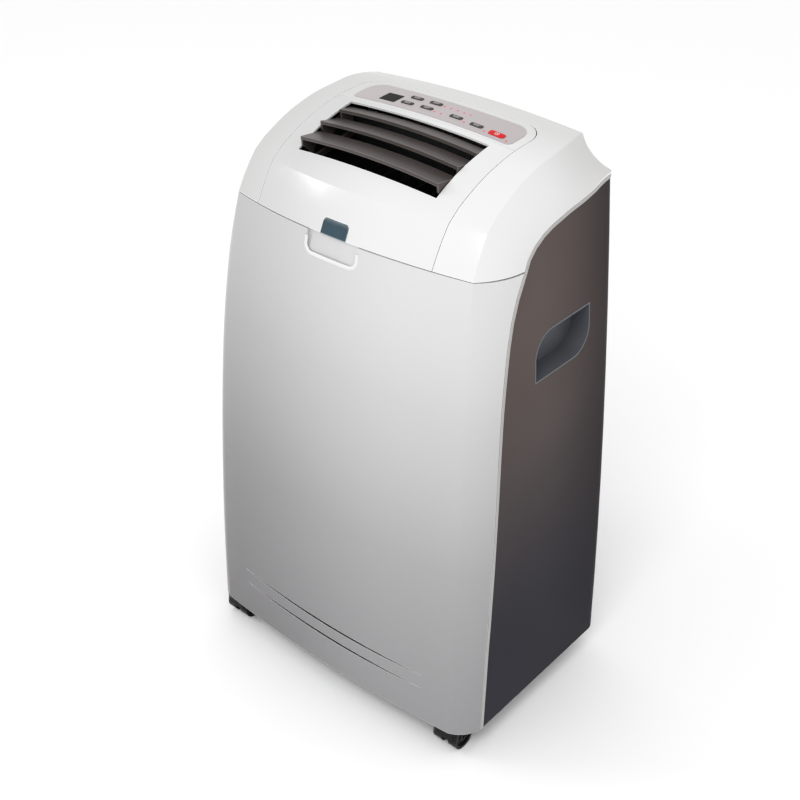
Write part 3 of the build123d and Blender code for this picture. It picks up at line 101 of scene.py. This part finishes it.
# ---- Material building blocks ---------------------------------------------
class Shader:
    """One node material, with short helpers for its nodes and links."""

    def __init__(self, name):
        self.material = bpy.data.materials.new(name)
        self.material.use_nodes = True
        self.tree = self.material.node_tree
        self.main = self.tree.nodes["Principled BSDF"]
        self.place = self.add("ShaderNodeTexCoord").outputs["Object"]

    def add(self, kind, **values):
        """New node; each value goes to its property, or else to its input."""
        node = self.tree.nodes.new(kind)
        for key, value in values.items():
            if hasattr(node, key):
                setattr(node, key, value)
            else:
                node.inputs[key.replace("_", " ")].default_value = value
        return node

    def link(self, start, end):
        self.tree.links.new(start, end)

    def set(self, **values):
        for key, value in values.items():
            self.main.inputs[key.replace("_", " ")].default_value = value

    def noise(self, scale, detail):
        node = self.add("ShaderNodeTexNoise", Scale=scale, Detail=detail)
        self.link(self.place, node.inputs["Vector"])
        return node.outputs["Fac"]

    def ramp(self, value, stops):
        node = self.add("ShaderNodeValToRGB")
        elements = node.color_ramp.elements
        while len(elements) < len(stops):
            elements.new(0.5)
        for element, (position, colour) in zip(elements, stops):
            element.position = position
            element.color = (*colour, 1.0)
        self.link(value, node.inputs["Fac"])
        return node.outputs["Color"]

    def spread(self, value, low, high):
        node = self.add("ShaderNodeMapRange")
        node.inputs["To Min"].default_value = low
        node.inputs["To Max"].default_value = high
        self.link(value, node.inputs["Value"])
        return node.outputs["Result"]

    def along(self, axis, start, end):
        """0 to 1 between two positions on one axis, eased at both ends."""
        parts = self.add("ShaderNodeSeparateXYZ")
        self.link(self.place, parts.inputs["Vector"])
        node = self.add("ShaderNodeMapRange", interpolation_type="SMOOTHSTEP")
        node.inputs["From Min"].default_value = start
        node.inputs["From Max"].default_value = end
        self.link(parts.outputs[axis], node.inputs["Value"])
        return node.outputs["Result"]

    def maths(self, operation, first, second):
        node = self.add("ShaderNodeMath", operation=operation)
        self.link(first, node.inputs[0])
        self.link(second, node.inputs[1])
        return node.outputs["Value"]

    def mix(self, factor, first, second):
        node = self.add("ShaderNodeMix", data_type="RGBA")
        self.link(factor, node.inputs["Factor"])
        for socket, value in ((node.inputs["A"], first), (node.inputs["B"], second)):
            if isinstance(value, tuple):
                socket.default_value = (*value, 1.0)
            else:
                self.link(value, socket)
        return node.outputs["Result"]

    def bump(self, height, strength, distance):
        node = self.add("ShaderNodeBump")
        node.inputs["Strength"].default_value = strength
        node.inputs["Distance"].default_value = distance
        self.link(height, node.inputs["Height"])
        self.link(node.outputs["Normal"], self.main.inputs["Normal"])

    def painted_edge_highlight(self, base, edge_highlight_colour):
        """Painted highlight: a lighter tone close to every sharp edge."""
        rounded = self.add("ShaderNodeBevel", samples=4)
        rounded.inputs["Radius"].default_value = EDGE_WIDTH
        plain_normal = self.add("ShaderNodeNewGeometry").outputs["Normal"]
        dot = self.add("ShaderNodeVectorMath", operation="DOT_PRODUCT")
        self.link(rounded.outputs["Normal"], dot.inputs[0])
        self.link(plain_normal, dot.inputs[1])
        node = self.add("ShaderNodeMapRange")
        node.inputs["From Min"].default_value = 0.99
        node.inputs["From Max"].default_value = 0.85
        self.link(dot.outputs["Value"], node.inputs["Value"])
        return self.mix(node.outputs["Result"], base, edge_highlight_colour)


def patchy(s, colour, vary, patch):
    low = tuple(max(c * (1 - vary), 0.0) for c in colour)
    high = tuple(min(c * (1 + vary), 1.0) for c in colour)
    return s.ramp(s.noise(patch, 4.0), [(0.3, low), (0.7, high)])


def shade(
    name, colour, vary, rough, grain, grain_depth,
    metallic=0.0, coat=0.0, edge_highlight_colour=None, patch=6.0, gloss=0.5, fades=(),
):
    """Moulded or painted surface: patchy tone, uneven gloss, fine grain and, when given an edge colour, a
    painted highlight along sharp edges.

    Each fade is (axis, start, end, colour): the tone turns to colour between two positions. The fades of
    the white shells, the outlet and the side panels are painted shade and light.
    """
    s = Shader(name)
    tone = patchy(s, colour, vary, patch)
    for axis, start, end, other in fades:
        tone = s.mix(s.along(axis, start, end), tone, patchy(s, other, vary, patch))
    # Painted highlight close to every sharp edge.
    if edge_highlight_colour:
        tone = s.painted_edge_highlight(tone, edge_highlight_colour)
    s.link(tone, s.main.inputs["Base Color"])
    s.link(s.spread(s.noise(patch * 4, 5.0), rough * 0.82, rough * 1.18), s.main.inputs["Roughness"])
    s.bump(s.noise(grain, 2.0), 0.35, grain_depth)
    s.set(Metallic=metallic, Coat_Weight=coat, Coat_Roughness=0.12, Specular_IOR_Level=gloss)
    return s.material


def silver_paint():
    """Satin metallic paint with fine flake; painted shade makes it deeper in tone towards the foot and
    the left end, and a painted highlight runs along sharp edges.
    """
    s = Shader("silver_paint")
    flake = s.noise(2600.0, 1.0)
    cloud = s.spread(s.noise(2.2, 3.0), -0.04, 0.04)
    # Painted shade: the tone darkens from the top of the panel down to its foot; the cloud is random.
    height = s.along("Z", PANEL_FOOT, PANEL_TOP)
    tone = s.ramp(
        s.maths("ADD", height, cloud),
        [
            (0.0, (0.235, 0.23, 0.237)),
            (0.35, (0.315, 0.31, 0.315)),
            (0.8, (0.5, 0.497, 0.5)),
            (1.0, (0.63, 0.63, 0.63)),
        ],
    )
    # Painted shade: darker towards the left end, deeper near the foot.
    left = s.maths("MULTIPLY", s.along("X", 0.12, -0.22), s.spread(height, 0.72, 0.36))
    tone = s.mix(left, tone, (0.05, 0.044, 0.048))
    tone = s.mix(s.spread(flake, 0.0, 0.12), tone, (0.7, 0.7, 0.71))
    # Painted highlight along sharp edges.
    tone = s.painted_edge_highlight(tone, (0.7, 0.7, 0.71))
    s.link(tone, s.main.inputs["Base Color"])
    s.link(s.spread(s.noise(40.0, 4.0), 0.3, 0.38), s.main.inputs["Roughness"])
    s.bump(flake, 0.1, 0.0002)
    s.set(Metallic=0.25, Coat_Weight=0.2, Coat_Roughness=0.2)
    return s.material


def lamp_lens():
    """Red lens that glows faintly."""
    material = shade(
        "lamp_red", (0.6, 0.03, 0.06), vary=0.05, rough=0.3, grain=900.0, grain_depth=0.0001, gloss=0.2
    )
    main = material.node_tree.nodes["Principled BSDF"]
    main.inputs["Emission Color"].default_value = (0.8, 0.06, 0.12, 1.0)
    main.inputs["Emission Strength"].default_value = 0.4
    return material


MATERIALS = {
    "silver": silver_paint(),
    # Painted shade: darker towards the left end and towards the back.
    "white": shade(
        "white_gloss", (0.67, 0.67, 0.675), vary=0.012, rough=0.2, grain=700.0, grain_depth=0.0002,
        coat=0.35, edge_highlight_colour=(0.82, 0.82, 0.82),
        fades=(("X", 0.05, -0.21, (0.46, 0.46, 0.455)), ("Y", 0.0, 0.15, (0.5, 0.495, 0.485))),
    ),
    # Painted shade: darker towards the left end.
    "outlet": shade(
        "outlet_white", (0.65, 0.65, 0.652), vary=0.012, rough=0.24, grain=700.0, grain_depth=0.0002,
        coat=0.3, edge_highlight_colour=(0.82, 0.82, 0.82), fades=(("X", 0.08, -0.14, (0.5, 0.5, 0.5)),),
    ),
    # Painted light and shade: lighter and browner towards the top, darker towards the back.
    "side": shade(
        "side_dark", (0.024, 0.024, 0.032), vary=0.08, rough=0.36, grain=900.0, grain_depth=0.0004,
        edge_highlight_colour=(0.05, 0.05, 0.052), gloss=0.02,
        fades=(("Z", 0.12, 0.6, (0.098, 0.078, 0.072)), ("Y", -0.02, 0.2, (0.012, 0.009, 0.012))),
    ),
    "trim": shade(
        "trim_grey", (0.36, 0.35, 0.34), vary=0.06, rough=0.35, grain=900.0, grain_depth=0.0003,
        edge_highlight_colour=(0.55, 0.54, 0.53),
    ),
    "cup": shade(
        "cup_dark", (0.075, 0.078, 0.09), vary=0.1, rough=0.42, grain=800.0, grain_depth=0.0005
    ),
    "overlay": shade(
        "overlay_grey", (0.41, 0.37, 0.375), vary=0.02, rough=0.38, grain=1200.0, grain_depth=0.0001
    ),
    "button": shade(
        "button_grey", (0.045, 0.038, 0.038), vary=0.1, rough=0.5, grain=900.0, grain_depth=0.0002,
        edge_highlight_colour=(0.09, 0.08, 0.08), gloss=0.15,
    ),
    "red": shade(
        "power_red", (0.6, 0.003, 0.008), vary=0.05, rough=0.4, grain=900.0, grain_depth=0.0001,
        edge_highlight_colour=(0.7, 0.04, 0.04), gloss=0.12,
    ),
    "display": shade(
        "display_black", (0.002, 0.002, 0.002), vary=0.1, rough=0.12, grain=900.0, grain_depth=0.00003,
        gloss=0.04,
    ),
    "window": shade(
        "window_tint", (0.022, 0.05, 0.07), vary=0.12, rough=0.14, grain=500.0, grain_depth=0.0001,
        coat=0.1, patch=60.0, gloss=0.3, edge_highlight_colour=(0.3, 0.34, 0.36),
        fades=(("Z", 0.666, 0.674, (0.12, 0.15, 0.165)),),
    ),
    "louvre": shade(
        "louvre_grey", (0.06, 0.05, 0.047), vary=0.12, rough=0.33, grain=900.0, grain_depth=0.0004,
        edge_highlight_colour=(0.2, 0.18, 0.165), gloss=0.35,
    ),
    "inside": shade(
        "inside_black", (0.006, 0.006, 0.007), vary=0.2, rough=0.6, grain=500.0, grain_depth=0.0005
    ),
    "caster": shade(
        "caster_black", (0.006, 0.006, 0.007), vary=0.2, rough=0.3, grain=600.0, grain_depth=0.0006,
        edge_highlight_colour=(0.05, 0.05, 0.05), gloss=0.08,
    ),
    # Painted shadow in the foot grooves.
    "groove": shade(
        "groove_shadow_black", (0.003, 0.003, 0.003), vary=0.1, rough=0.6, grain=600.0, grain_depth=0.0002,
        gloss=0.02,
    ),
    "lip": shade(
        "lip_silver", (0.66, 0.66, 0.66), vary=0.02, rough=0.25, grain=900.0, grain_depth=0.0001,
        coat=0.3,
    ),
    "glyph": shade(
        "glyph_white", (0.75, 0.75, 0.75), vary=0.02, rough=0.5, grain=900.0, grain_depth=0.0001
    ),
    "base": shade(
        "base_black", (0.02, 0.02, 0.022), vary=0.15, rough=0.5, grain=600.0, grain_depth=0.0008,
        edge_highlight_colour=(0.05, 0.05, 0.05),
    ),
    "rubber": shade(
        "plug_rubber", (0.02, 0.02, 0.02), vary=0.2, rough=0.7, grain=400.0, grain_depth=0.001
    ),
    "steel": shade(
        "plain_steel", (0.5, 0.5, 0.51), vary=0.08, rough=0.32, grain=900.0, grain_depth=0.0004,
        metallic=1.0,
    ),
    "coil": shade(
        "coil_alloy", (0.72, 0.73, 0.75), vary=0.08, rough=0.4, grain=600.0, grain_depth=0.0006,
        metallic=0.9,
    ),
    "copper": shade(
        "copper_pipe", (0.62, 0.3, 0.17), vary=0.15, rough=0.35, grain=300.0, grain_depth=0.0006,
        metallic=1.0,
    ),
    "net": shade(
        "filter_net", (0.16, 0.18, 0.2), vary=0.2, rough=0.8, grain=1500.0, grain_depth=0.002
    ),
    "mark": shade(
        "legend_grey", (0.42, 0.4, 0.4), vary=0.04, rough=0.5, grain=900.0, grain_depth=0.0001
    ),
    "lamp": lamp_lens(),
}

# Material of each slot in the record, and of the few nodes that differ from their slot.
FINISH = {
    "panel_silver": "silver",
    "shell_white": "white",
    "side_dark": "side",
    "trim_grey": "trim",
    "overlay_grey": "overlay",
    "button_grey": "button",
    "power_red": "red",
    "display_black": "display",
    "lens_red": "lamp",
    "window_tint": "window",
    "louvre_black": "louvre",
    "motor_steel": "steel",
    "base_black": "base",
    "caster_black": "caster",
    "plug_rubber": "rubber",
    "filter_net": "net",
    "screw_steel": "steel",
    "coil_alloy": "coil",
    "copper_pipe": "copper",
    "compressor_black": "base",
    "blower_plastic": "base",
}
SPECIAL = {
    "outlet_panel": "outlet",
    "handle_cup_left": "cup",
    "handle_cup_right": "cup",
    "outlet_duct": "inside",
    "guide_vanes": "inside",
}


# ---- Shading of the CAD meshes ---------------------------------------------
def sample_steps(area, longest):
    """Samples along one side of a triangle, more on a large or a long one."""
    steps = max(1, int(math.sqrt(area) / SAMPLE_STEP), int(longest / SAMPLE_STEP / LONG_FACE))
    return min(steps, MOST_STEPS)


def face_samples(mesh):
    """Points spread over every face, each with its face normal and its share of the area."""
    points, normals = [], []
    mesh.calc_loop_triangles()
    for triangle in mesh.loop_triangles:
        a, b, c = (mesh.vertices[i].co for i in triangle.vertices)
        longest = max((b - a).length, (c - b).length, (a - c).length)
        steps = sample_steps(triangle.area, longest)
        for i in range(steps):
            for j in range(steps - i):
                u, v = (i + 1 / 3) / steps, (j + 1 / 3) / steps
                points.append(a + (b - a) * u + (c - a) * v)
                normals.append((triangle.normal, triangle.area / (steps * (steps + 1) / 2)))
    return points, normals


def soft_normals(node):
    """Evens out the shading of a shell made of many flat strips, and keeps its real corners."""
    mesh = node.data
    points, normals = face_samples(mesh)
    tree = KDTree(len(points))
    for i, point in enumerate(points):
        tree.insert(point, i)
    tree.balance()
    near = []
    for vertex in mesh.vertices:
        found = tree.find_range(vertex.co, SOFT_REACH)
        near.append([normals[i] + (1 - distance / SOFT_REACH,) for place, i, distance in found])
    result = []
    for face in mesh.polygons:
        for corner in face.vertices:
            total = Vector((0.0, 0.0, 0.0))
            for normal, area, weight in near[corner]:
                if normal.dot(face.normal) > SOFT_TURN:
                    total += normal * (area * weight)
            result.append(total.normalized() if total.length > 0 else face.normal.copy())
    mesh.normals_split_custom_set(result)


def smooth_node(node):
    """Joins the CAD faces' edges and shades across them, except at real corners."""
    mesh = node.data
    if "custom_normal" in mesh.attributes:
        mesh.attributes.remove(mesh.attributes["custom_normal"])
    mesh.polygons.foreach_set("use_smooth", [True] * len(mesh.polygons))
    weld = node.modifiers.new("weld", "WELD")
    weld.merge_threshold = WELD
    split = node.modifiers.new("corners", "EDGE_SPLIT")
    split.split_angle = SMOOTH_ANGLE
    split.use_edge_sharp = False


slots = {row["node"]: row["material_slot"] for row in frame["record"]["subparts"]}
for name, node in frame["nodes"].items():
    finish = SPECIAL.get(name, FINISH[slots[name]])
    node.data.materials.clear()
    node.data.materials.append(MATERIALS[finish])
    if name in SHELLS:
        soft_normals(node)
    else:
        smooth_node(node)


# ---- Pieces laid on the CAD surfaces ---------------------------------------
class Surface:
    """Outside of one CAD node, found by looking at it along a fixed direction."""

    def __init__(self, name, towards):
        node = frame["nodes"][name]
        points = [node.matrix_world @ v.co for v in node.data.vertices]
        self.tree = BVHTree.FromPolygons(points, [tuple(f.vertices) for f in node.data.polygons])
        self.towards = Vector(towards)

    def at(self, point):
        """(place, outward normal) where the look through point meets the node."""
        start = Vector(point) - self.towards * LOOK_FROM
        place, normal, index, distance = self.tree.ray_cast(start, self.towards)
        if normal.dot(self.towards) > 0:
            normal = -normal
        return place, normal


def mesh_piece(name, points, faces, material, body):
    mesh = bpy.data.meshes.new(name)
    mesh.from_pydata([tuple(p) for p in points], [], faces)
    mesh.polygons.foreach_set("use_smooth", [True] * len(mesh.polygons))
    mesh.update()
    piece = bpy.data.objects.new(name, mesh)
    bpy.context.collection.objects.link(piece)
    piece.data.materials.append(MATERIALS[material])
    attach(piece, body)
    return piece


def bead(name, surface, path, widths, height, sink, material, body):
    """Rounded bead along a path on a surface; widths gives the half width at each point."""
    rows = []
    spots = [surface.at(p) for p in path]
    for i, (place, normal) in enumerate(spots):
        before, after = spots[max(i - 1, 0)][0], spots[min(i + 1, len(spots) - 1)][0]
        across = (after - before).cross(normal).normalized()
        row = []
        for k in range(BEAD_STEPS + 1):
            share = 2.0 * k / BEAD_STEPS - 1.0
            rise = height * math.sqrt(max(1.0 - share * share, 0.0)) - sink
            row.append(place + across * (share * widths[i]) + normal * rise)
        rows.append(row)
    wide = BEAD_STEPS + 1
    points = [p for row in rows for p in row]
    faces = []
    for i in range(len(rows) - 1):
        for k in range(BEAD_STEPS):
            a = i * wide + k
            faces.append((a, a + 1, a + wide + 1, a + wide))
    return mesh_piece(name, points, faces, material, body)


def bar_on(name, surface, centre, size, turn, lift, material, body):
    """Thin flat plate that follows a surface seen from above, turned about the vertical."""
    points, faces = [], []
    c, t = math.cos(turn), math.sin(turn)
    for i in range(BAR_STEPS + 1):
        for k in range(2):
            u, v = (i / BAR_STEPS - 0.5) * size[0], (k - 0.5) * size[1]
            place, normal = surface.at((centre[0] + u * c - v * t, centre[1] + u * t + v * c, 0.0))
            points.append(place + normal * lift)
    for i in range(BAR_STEPS):
        a = 2 * i
        faces.append((a, a + 2, a + 3, a + 1))
    piece = mesh_piece(name, points, faces, material, body)
    thick = piece.modifiers.new("thick", "SOLIDIFY")
    thick.thickness = lift
    thick.offset = 0.0
    return piece


def groove_painted_shadow(which, middle_z, end_z, half):
    """Painted shadow: a dark strip along the floor of one foot groove, tapering to both ends."""
    path, widths = [], []
    for i in range(GROOVE_STEPS + 1):
        share = 2.0 * i / GROOVE_STEPS - 1.0
        path.append((share * half * GROOVE_SHARE, 0.0, middle_z + (end_z - middle_z) * share * share))
        widths.append(GROOVE_HALF_WIDE * (1.0 - share * share) ** GROOVE_TAPER + GROOVE_TIP)
    bead("groove_" + which, front, path, widths, 0.0002, -0.0001, "groove", "front_panel")


def lip_path():
    """Down the left side of the scoop, round its corner, along its foot and up the right side."""
    left = [(SCOOP_MIDDLE - SCOOP_HALF, 0.0, SCOOP_TOP - UPRIGHT_STEP * i) for i in range(UPRIGHT_POINTS)]
    for i in range(CORNER_STEPS + 1):
        a = math.radians(90 * i / CORNER_STEPS)
        x = SCOOP_MIDDLE - SCOOP_HALF + SCOOP_ROUND * (1 - math.cos(a))
        z = SCOOP_FOOT + SCOOP_ROUND * (1 - math.sin(a))
        left.append((x, 0.0, z))
    reach = SCOOP_HALF - SCOOP_ROUND
    foot = []
    for i in range(1, FOOT_STEPS):
        share = i / FOOT_STEPS
        foot.append((SCOOP_MIDDLE - reach + 2 * reach * share, 0.0, SCOOP_FOOT))
    right = [(2 * SCOOP_MIDDLE - x, y, z) for x, y, z in reversed(left)]
    return left + foot + right


def scoop_lip():
    path = lip_path()
    widths = [LIP_HALF_WIDE] * len(path)
    bead("scoop_lip", front, path, widths, LIP_PROUD, LIP_SINK, "lip", "front_panel")


def middle_of(name):
    low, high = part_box(name)
    return (low[0] + high[0]) / 2, (low[1] + high[1]) / 2


def legend(name):
    """Two plain bars in place of a button's words."""
    top = Surface(name, DOWN)
    x, y = middle_of(name)
    for row, (back, length) in enumerate(LEGEND_ROWS, 1):
        size = (length, LEGEND_WIDE)
        bar_on(
            "legend_%s_%d" % (name, row), top, (x, y + back), size, 0.0, LEGEND_LIFT,
            "mark", name,
        )


def power_mark():
    """Generic power sign: a short line in an open ring of small bars."""
    top = Surface("power_button", DOWN)
    x, y = middle_of("power_button")
    bar_on(
        "power_mark_line", top, (x, y + POWER_BACK), POWER_LINE, 0.0, POWER_LIFT,
        "glyph", "power_button",
    )
    for i in range(POWER_ARC_BARS):
        a = math.radians(POWER_ARC_START + POWER_ARC_SWEEP * i / (POWER_ARC_BARS - 1))
        spot = (x + POWER_RADIUS * math.cos(a), y + POWER_RADIUS * math.sin(a))
        bar_on(
            "power_mark_arc_%02d" % i, top, spot, POWER_ARC_BAR, a + math.pi / 2, POWER_LIFT,
            "glyph", "power_button",
        )


front = Surface("front_panel", FORWARD)
# Painted shadow strips in the foot grooves.
for groove in GROOVES:
    groove_painted_shadow(*groove)
scoop_lip()
for name in frame["nodes"]:
    if name.startswith("button_"):
        legend(name)
power_mark()


# ---- Stage ----------------------------------------------------------------
def plain(name, colour, rough):
    s = Shader(name)
    s.set(Base_Color=(*colour, 1.0), Roughness=rough)
    return s.material


def floor_sheet():
    bpy.ops.mesh.primitive_plane_add(size=FLOOR_SIZE, location=(0, 0, 0))
    floor = bpy.context.object
    floor.name = "floor"
    floor.data.materials.append(plain("floor_white", (0.95, 0.95, 0.95), 0.9))


def white_world():
    world = bpy.data.worlds.new("world")
    bpy.context.scene.world = world
    world.use_nodes = True
    background = world.node_tree.nodes["Background"]
    background.inputs["Color"].default_value = (1.0, 1.0, 1.0, 1.0)
    background.inputs["Strength"].default_value = 1.0


def soft_lamp(name, place, width, power):
    data = bpy.data.lights.new(name, "AREA")
    data.size = width
    data.energy = power
    lamp = bpy.data.objects.new(name, data)
    bpy.context.collection.objects.link(lamp)
    lamp.location = place
    lamp.rotation_euler = (Vector(LAMP_AIM) - Vector(place)).to_track_quat("-Z", "Y").to_euler()


def camera():
    data = bpy.data.cameras.new("camera")
    data.sensor_width = CAMERA_SENSOR
    data.lens = CAMERA_LENS
    data.clip_start, data.clip_end = 0.05, 50.0
    cam = bpy.data.objects.new("camera", data)
    bpy.context.collection.objects.link(cam)
    cam.location = CAMERA_PLACE
    cam.rotation_euler = Vector(CAMERA_LOOK).to_track_quat("-Z", "Y").to_euler()
    bpy.context.scene.camera = cam


floor_sheet()
white_world()
soft_lamp("key", (0.7, -1.5, 2.1), width=0.9, power=16.0)
soft_lamp("rim", (-1.5, -1.0, 1.6), width=0.5, power=5.0)
camera()
bpy.context.scene.view_settings.view_transform = "Standard"
